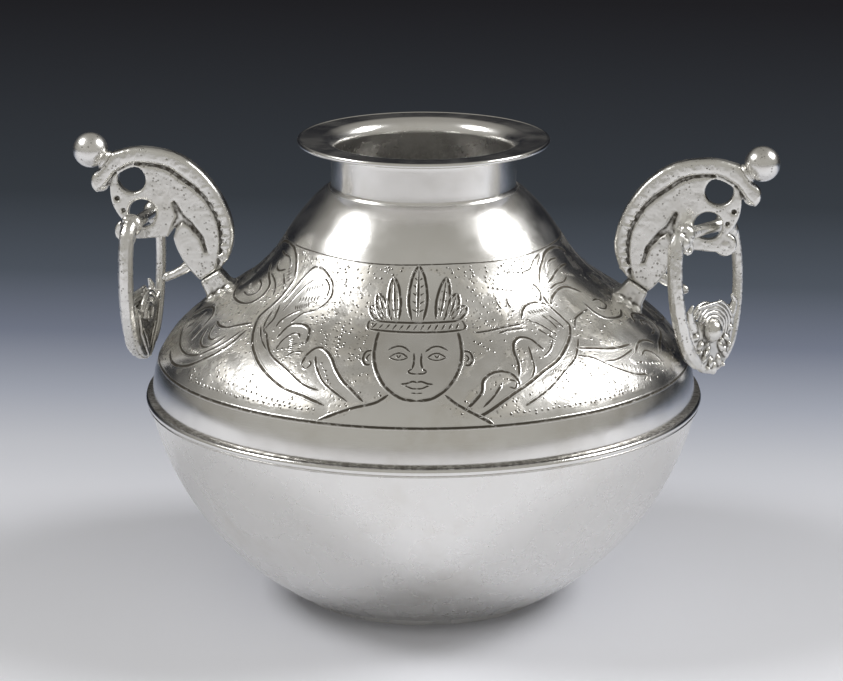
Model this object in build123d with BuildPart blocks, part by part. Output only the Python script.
from build123d import *
import os
from math import cos, hypot, radians, sin

# Silver sugar bowl with two hanging bail handles, in millimetres.
# Frame: +Z up, origin at the centre of the foot's base, handles along X,
# the chased face towards -Y. "Outward" means away from the bowl's axis.

# ---- body
wall = 1.0              # raised sheet
girdle_r = 63.5         # outermost radius of the bead round the joint
belly_r = girdle_r - 0.8        # outer radius of the lower half at the joint
joint_z = 46.0          # height of the joint between the two raised halves
floor_r = belly_r - 30.7        # where the flat bottom turns up
belly_shape = (0.62, 0.405)     # the belly's middle point, as shares of its width and height
shoulder_r = belly_r - 0.7      # outer radius of the upper half at the joint
neck_r = 20.9           # outer radius of the neck
crown_r = neck_r + 0.7          # outer radius of the upper half at its top edge
crown_z = 95.0
# the ogee from crown to joint: share of the way out, share of the way up
ogee = [(0.966, 0.19), (0.852, 0.33), (0.677, 0.445), (0.45, 0.571),
        (0.304, 0.694), (0.203, 0.82), (0.086, 0.939)]

foot_r = floor_r - 3.6
foot_h = 2.3
foot_wall = 1.0

# ---- girdle wire: a bead standing on a flat band
bead_r = 0.9
band_h = 2.4
band_step = 0.3         # the band lies this much inside the bead
bead_lift = 0.8         # bead centre above the joint

# ---- neck and lip
neck_wall = 0.9
cove_r = 2.3            # cove under the lip
lip_r = neck_r + 7.6
lip_z = crown_z + 11.2
lip_wire_w = 0.8
lip_wire_h = 1.1

# ---- pad: a block that stands square to the shoulder's slope
pad_u = belly_r - 16.3  # distance from the bowl's axis to the pad's middle
pad_h = 4.6
pad_top = (5.3, 4.6)    # along the slope, across it
pad_foot = (7.9, 7.2)
pad_sink = 2.0          # how far the pad is carried down before the shoulder trims it

# ---- brackets, in their own upright plane: (distance outward, height), both
# measured from the place where the pad's middle meets the shoulder
plate_t = 2.6
crest_t = 4.0
pivot = (17.9, 18.0)
pivot_hole_r = 3.2
eye = (20.2, 25.9)
eye_hole_r = 3.15
crest_back = [(18.4, 33.4), (10.0, 32.1), (3.7, 27.8), (-1.0, 21.2), (-3.1, 14.2), (-2.1, 8.8)]
crest_front = [(23.8, 27.4), (19.9, 29.8), (14.6, 29.5), (8.7, 26.4), (3.6, 21.8),
               (0.8, 16.6), (-0.1, 10.8)]
leg_front = (9.0, 7.6)
cleft = [(10.9, 12.5), (9.8, 16.0), (12.0, 12.7)]
lobe_low = (15.6, 12.3)
lobe_neck = (19.8, 12.0)
lobe_nose = (24.4, 13.3)
chin_low = (22.4, 16.3)
chin = (24.5, 20.0)
beak_root = (25.6, 24.3)
beak = [(28.2, 22.7), (29.6, 24.6), (28.8, 27.2)]
spur_root = (6.6, 6.4)
spur_tip = (13.1, 2.7)
spur_root_r = 1.2
spur_tip_r = 1.1

# ---- finials, in the brackets' plane
ball = (29.7, 32.3)
ball_r = 4.0
seat_r = 1.9            # flat ground on the ball where it is soldered on
collar_r = 2.3
collar_t = 0.8
seat_slope = 34.0       # the finial's axis, degrees above level

# ---- bails, in the plane of each bail: (along the pin, height from the pin). The
# heights are for a pivot hole this far above the joint, and follow it up and down.
bail_room = 41.4431
pin_r = 1.5
pin_half = 5.2          # half of the pin's free length between the two heads
head_r = 2.5
head_l = 2.6
arm_r = {"front": 1.7, "rear": 1.35}
arm_top = 7.4           # where the arm starts to bend down
arm_elbow = (10.6, -2.6)
arm_waist = (8.8, -24.5)
arm_end = (5.0, -29.8)
shell_t = 3.8           # thickness of the ornament's plate
shell_boss_r = 3.3
shell_boss = (0.0, -22.6)
shell_boss_out = 0.9    # the boss stands this much outward of the plate's middle
# half of the ornament's outline, from the top centre round to the bottom centre
shell_outline = [(0.0, -18.6), (4.2, -20.4), (8.8, -16.4), (9.3, -22.0),
                 (6.9, -28.2), (4.2, -32.4), (0.0, -33.8)]

# how each bail hangs: turn of its pin in the loose hole, lean of its lower end
# outward, how far the pin's lowest line stays above the bottom of the hole, and how
# far the pin has slid towards the front
hang = {"left": (11.0, 0.6, 0.35, 0.0), "right": (37.0, 4.4, 1.0, 1.3)}
side_sign = {"left": -1, "right": 1}

os.makedirs("parts", exist_ok=True)


def save(name, solid):
    """Label one finished piece and write it as parts/NAME.step."""
    solid.label = name
    export_step(solid, f"parts/{name}.step")


def inside_of(curve, depth, count=24):
    """Points that run a sheet's thickness inside a curve drawn from the bottom up."""
    points = []
    for step in range(count + 1):
        at = step / count
        place = curve @ at
        along = curve % at
        points.append((place.X - depth * along.Y, place.Y + depth * along.X))
    return points


def belly_curve():
    """Outer line of the lower half, from the turned-up bottom to the joint."""
    middle = (floor_r + belly_shape[0] * (belly_r - floor_r),
              foot_h + belly_shape[1] * (joint_z - foot_h))
    return ThreePointArc((floor_r, foot_h), middle, (belly_r, joint_z))


def shoulder_curve():
    """Outer line of the upper half, from the joint to the crown."""
    points = [(shoulder_r, joint_z)]
    for out, up in ogee:
        points.append((crown_r + out * (shoulder_r - crown_r), joint_z + up * (crown_z - joint_z)))
    points.append((crown_r, crown_z))
    return Spline(*points, tangents=[(0, 1), (-1, 0.6)])


def on_shoulder(radius):
    """Height and direction of the shoulder's outer line where it has this radius."""
    curve = shoulder_curve()
    low, high = 0.0, 1.0
    for _ in range(40):
        middle = (low + high) / 2
        if (curve @ middle).X > radius:
            low = middle
        else:
            high = middle
    return (curve @ low).Y, curve % low


# ---- body: solids of the outer shape, used to trim what is soldered on
with BuildPart() as belly_core:
    with BuildSketch(Plane.XZ):
        with BuildLine():
            belly = belly_curve()
            Polyline(belly @ 1, (0, joint_z), (0, foot_h), belly @ 0)
        make_face()
    revolve(axis=Axis.Z)

with BuildPart() as shoulder_core:
    with BuildSketch(Plane.XZ):
        with BuildLine():
            outer = shoulder_curve()
            Polyline(outer @ 1, (0, crown_z), (0, joint_z), outer @ 0)
        make_face()
    revolve(axis=Axis.Z)

# ---- lower bowl: one sheet, flat bottom and round belly
with BuildPart() as lower_bowl:
    with BuildSketch(Plane.XZ):
        with BuildLine():
            belly = belly_curve()
            inner = inside_of(belly, wall)
            floor_z = foot_h + wall
            skin = [point for point in inner if point[1] > floor_z + wall]
            rim = (skin[-1][0], joint_z)
            Line(belly @ 1, rim)
            Spline(rim, *reversed(skin[:-1]), (inner[0][0] - wall / 2, floor_z))
            Polyline((inner[0][0] - wall / 2, floor_z), (0, floor_z), (0, foot_h), belly @ 0)
        make_face()
    revolve(axis=Axis.Z)
save("lower_bowl", lower_bowl.part)

# ---- shoulder
with BuildPart() as shoulder:
    with BuildSketch(Plane.XZ):
        with BuildLine():
            outer = shoulder_curve()
            inner = inside_of(outer, wall)
            foot_point = (shoulder_r - wall, joint_z)
            top_point = (neck_r - neck_wall, crown_z)
            skin = [point for point in inner[1:] if point[0] > top_point[0] + wall / 2]
            Line(outer @ 1, top_point)
            Spline(top_point, *reversed(skin), foot_point)
            Line(foot_point, outer @ 0)
        make_face()
    revolve(axis=Axis.Z)
save("shoulder", shoulder.part)

# ---- foot ring
with BuildPart() as foot_ring:
    with BuildSketch():
        Circle(foot_r)
        Circle(foot_r - foot_wall, mode=Mode.SUBTRACT)
    extrude(amount=foot_h)
save("foot_ring", foot_ring.part)

# ---- girdle wire
with BuildPart() as girdle_wire:
    with BuildSketch(Plane.XZ):
        band_r = girdle_r - band_step
        band_w = band_r - shoulder_r + wall
        with Locations((band_r - band_w / 2, joint_z + bead_lift - band_h / 2)):
            Rectangle(band_w, band_h)
        with Locations((girdle_r - bead_r, joint_z + bead_lift)):
            Circle(bead_r)
    revolve(axis=Axis.Z)
    add(belly_core.part, mode=Mode.SUBTRACT)
    add(shoulder_core.part, mode=Mode.SUBTRACT)
save("girdle_wire", girdle_wire.part)

# ---- neck collar, turned out at the top into the flat lip
with BuildPart() as neck_collar:
    with BuildSketch(Plane.XZ):
        with BuildLine():
            under_z = lip_z - neck_wall
            cove_z = under_z - cove_r
            flange_r = neck_r + cove_r
            edge_r = lip_r - lip_wire_w
            Line((neck_r, crown_z), (neck_r, cove_z))
            RadiusArc((neck_r, cove_z), (flange_r, under_z), cove_r)
            Polyline((flange_r, under_z), (edge_r, under_z), (edge_r, lip_z), (flange_r, lip_z))
            RadiusArc((flange_r, lip_z), (neck_r - neck_wall, cove_z), -(cove_r + neck_wall))
            Polyline((neck_r - neck_wall, cove_z), (neck_r - neck_wall, crown_z), (neck_r, crown_z))
        make_face()
    revolve(axis=Axis.Z)
save("neck_collar", neck_collar.part)

# ---- wire round the lip's edge
with BuildPart() as lip_wire:
    with BuildSketch(Plane.XZ) as lip_section:
        with Locations((lip_r - lip_wire_w / 2, lip_z - neck_wall / 2)):
            Rectangle(lip_wire_w, lip_wire_h)
        fillet(lip_section.vertices().group_by(Axis.X)[-1], lip_wire_w * 0.45)
    revolve(axis=Axis.Z)
save("lip_wire", lip_wire.part)

# ---- pad: stands square to the shoulder's slope and is trimmed by it
pad_z, pad_along = on_shoulder(pad_u)
down_slope = (-pad_along.X, 0, -pad_along.Y)
off_slope = (pad_along.Y, 0, -pad_along.X)
pad_plane = Plane(origin=(pad_u, 0, pad_z), x_dir=down_slope, z_dir=off_slope)

with BuildPart() as pad:
    foot_share = (pad_h + pad_sink) / pad_h
    flare = [foot_share * (pad_foot[i] - pad_top[i]) for i in range(2)]
    with BuildSketch(pad_plane.offset(pad_h)):
        Rectangle(*pad_top)
    with BuildSketch(pad_plane.offset(-pad_sink)):
        Rectangle(pad_top[0] + flare[0], pad_top[1] + flare[1])
    loft()
    add(shoulder_core.part, mode=Mode.SUBTRACT)


def from_pad(*points):
    """Points of the bracket's plane that are given as distances from the pad's place."""
    return [(pad_u + point[0], pad_z + point[1]) for point in points]


def on_pad(along):
    """Point of the bracket's plane on the pad's top face."""
    place = pad_plane.offset(pad_h).from_local_coords((along, 0, 0))
    return (place.X, place.Z)


# ---- finial: its axis leaves the crest square to a straight seat
seat_dir = (cos(radians(seat_slope)), sin(radians(seat_slope)))
ball_at = from_pad(ball)[0]
seat_gap = (ball_r ** 2 - seat_r ** 2) ** 0.5 + collar_t


def on_seat(along):
    """Point of the crest's straight front edge, positive towards the beak."""
    return (ball_at[0] - seat_gap * seat_dir[0] + along * seat_dir[1],
            ball_at[1] - seat_gap * seat_dir[1] - along * seat_dir[0])


seat_top = on_seat(-2.6)
seat_low = on_seat(2.3)
bracket_heel = on_pad(-pad_top[0] / 2)
bracket_toe = on_pad(pad_top[0] / 2)
crest_heel = on_pad(-pad_top[0] / 4)

# ---- bracket: cast plate with a thicker crest, an eye hole and a pivot hole
with BuildPart() as bracket:
    with BuildSketch(Plane.XZ):
        with BuildLine():
            Spline(seat_top, *from_pad(*crest_back), bracket_heel)
            Line(bracket_heel, bracket_toe)
            ThreePointArc(bracket_toe, *from_pad(leg_front, cleft[0]))
            Polyline(*from_pad(*cleft))
            ThreePointArc(*from_pad(cleft[2], lobe_low, lobe_neck))
            ThreePointArc(*from_pad(lobe_neck, lobe_nose, chin_low))
            ThreePointArc(*from_pad(chin_low, chin, beak_root))
            Line(*from_pad(beak_root, beak[0]))
            ThreePointArc(*from_pad(*beak))
            Polyline(*from_pad(beak[2]), seat_low, seat_top)
        make_face()
        with Locations(*from_pad(pivot)):
            Circle(pivot_hole_r, mode=Mode.SUBTRACT)
        with Locations(*from_pad(eye)):
            Circle(eye_hole_r, mode=Mode.SUBTRACT)
    extrude(amount=plate_t / 2, both=True)
    with BuildSketch(Plane.XZ):
        with BuildLine():
            Spline(seat_top, *from_pad(*crest_back), bracket_heel)
            Line(bracket_heel, crest_heel)
            Spline(crest_heel, *from_pad(*reversed(crest_front), beak_root))
            Line(*from_pad(beak_root, beak[0]))
            ThreePointArc(*from_pad(*beak))
            Polyline(*from_pad(beak[2]), seat_low, seat_top)
        make_face()
    extrude(amount=crest_t / 2, both=True)

# ---- spur: starts at the bracket's leg and tapers to a blunt tip
spur_dir = (spur_tip[0] - spur_root[0], 0, spur_tip[1] - spur_root[1])
spur_plane = Plane(origin=(pad_u + spur_root[0], 0, pad_z + spur_root[1]),
                   x_dir=(0, 1, 0), z_dir=spur_dir)
with BuildPart() as spur:
    with BuildSketch(spur_plane):
        Circle(spur_root_r)
    with BuildSketch(spur_plane.offset(hypot(spur_dir[0], spur_dir[2]))):
        Circle(spur_tip_r)
    loft()
    add(bracket.part, mode=Mode.SUBTRACT)
    add(pad.part, mode=Mode.SUBTRACT)

# ---- finial ball, ground flat on its seat, and the collar under it
finial_plane = Plane(origin=(ball_at[0], 0, ball_at[1]), x_dir=(0, 1, 0),
                     z_dir=(seat_dir[0], 0, seat_dir[1]))
with BuildPart() as finial_ball:
    with Locations((ball_at[0], 0, ball_at[1])):
        Sphere(ball_r)
    split(bisect_by=finial_plane.offset(collar_t - seat_gap), keep=Keep.TOP)

with BuildPart() as finial_collar:
    with BuildSketch(finial_plane.offset(-seat_gap)):
        Circle(collar_r)
    extrude(amount=collar_t)

for side, sign in side_sign.items():
    for name, solid in (("pad", pad.part), ("bracket", bracket.part), ("spur", spur.part),
                        ("finial_collar", finial_collar.part), ("finial_ball", finial_ball.part)):
        placed = Part() + solid if sign > 0 else mirror(solid, about=Plane.YZ)
        save(f"{side}_{name}", placed)


# ---- bail pieces, drawn flat: x along the pin, y up, z outward
with BuildPart() as bail_pin:
    with BuildSketch(Plane.YZ):
        Circle(pin_r)
    extrude(amount=pin_half, both=True)


def hung(*points):
    """Points of a bail, their heights matched to the height that the bail hangs at."""
    share = (pad_z + pivot[1] - joint_z) / bail_room
    return [(point[0], share * point[1]) for point in points]


def bail_arm(end):
    """One arm: a round bar from its head at the pin, bowed down to the ornament."""
    with BuildPart() as arm:
        with BuildLine() as path:
            top = Line((pin_half, 0), (arm_top, 0))
            elbow = TangentArc(top @ 1, *hung(arm_elbow), tangent=top % 1)
            bow = TangentArc(elbow @ 1, *hung(arm_waist), tangent=elbow % 1)
            TangentArc(bow @ 1, *hung(arm_end), tangent=bow % 1)
        with BuildSketch(Plane.YZ.offset(pin_half)):
            Circle(arm_r[end])
        sweep(path=path.wire())
        with BuildSketch(Plane.YZ.offset(pin_half)):
            Circle(head_r)
        extrude(amount=head_l)
    return arm.part


def bail_ornament(arms):
    """The cast shell between two arms, with a round boss on its outward face."""
    with BuildPart() as ornament:
        with BuildSketch():
            with BuildLine():
                Spline(*hung(*shell_outline[:3]))
                Spline(*hung(*shell_outline[2:]))
                mirror(about=Plane.YZ)
            make_face()
        extrude(amount=shell_t / 2, both=True)
        with Locations((*hung(shell_boss)[0], shell_boss_out)):
            Sphere(shell_boss_r)
        for arm in arms:
            add(arm, mode=Mode.SUBTRACT)
    return ornament.part


def bail_plane(side):
    """Plane of one hanging bail: x along its pin, y up, z outward."""
    sign = side_sign[side]
    turn, lean, play, slide = hang[side]
    pin_dir = Vector(sign * sin(radians(turn)), sign * cos(radians(turn)), 0)
    outward = pin_dir.cross(Vector(0, 0, 1))
    face = outward * cos(radians(lean)) + Vector(0, 0, 1) * sin(radians(lean))
    hole_u, hole_z = from_pad(pivot)[0]
    drop = pivot_hole_r - pin_r - play
    origin = Vector(sign * hole_u, 0, hole_z - drop) - pin_dir * sign * slide
    return Plane(origin=origin, x_dir=pin_dir, z_dir=face)


for side, sign in side_sign.items():
    place = bail_plane(side).location
    # the pin's direction points to the rear on the right side and to the front on the left
    front, rear = bail_arm("front"), bail_arm("rear")
    if sign > 0:
        front = mirror(front, about=Plane.YZ)
    else:
        rear = mirror(rear, about=Plane.YZ)
    save(f"{side}_bail_pin", place * bail_pin.part)
    save(f"{side}_bail_arm_front", place * front)
    save(f"{side}_bail_arm_rear", place * rear)
    save(f"{side}_bail_ornament", place * bail_ornament([front, rear]))
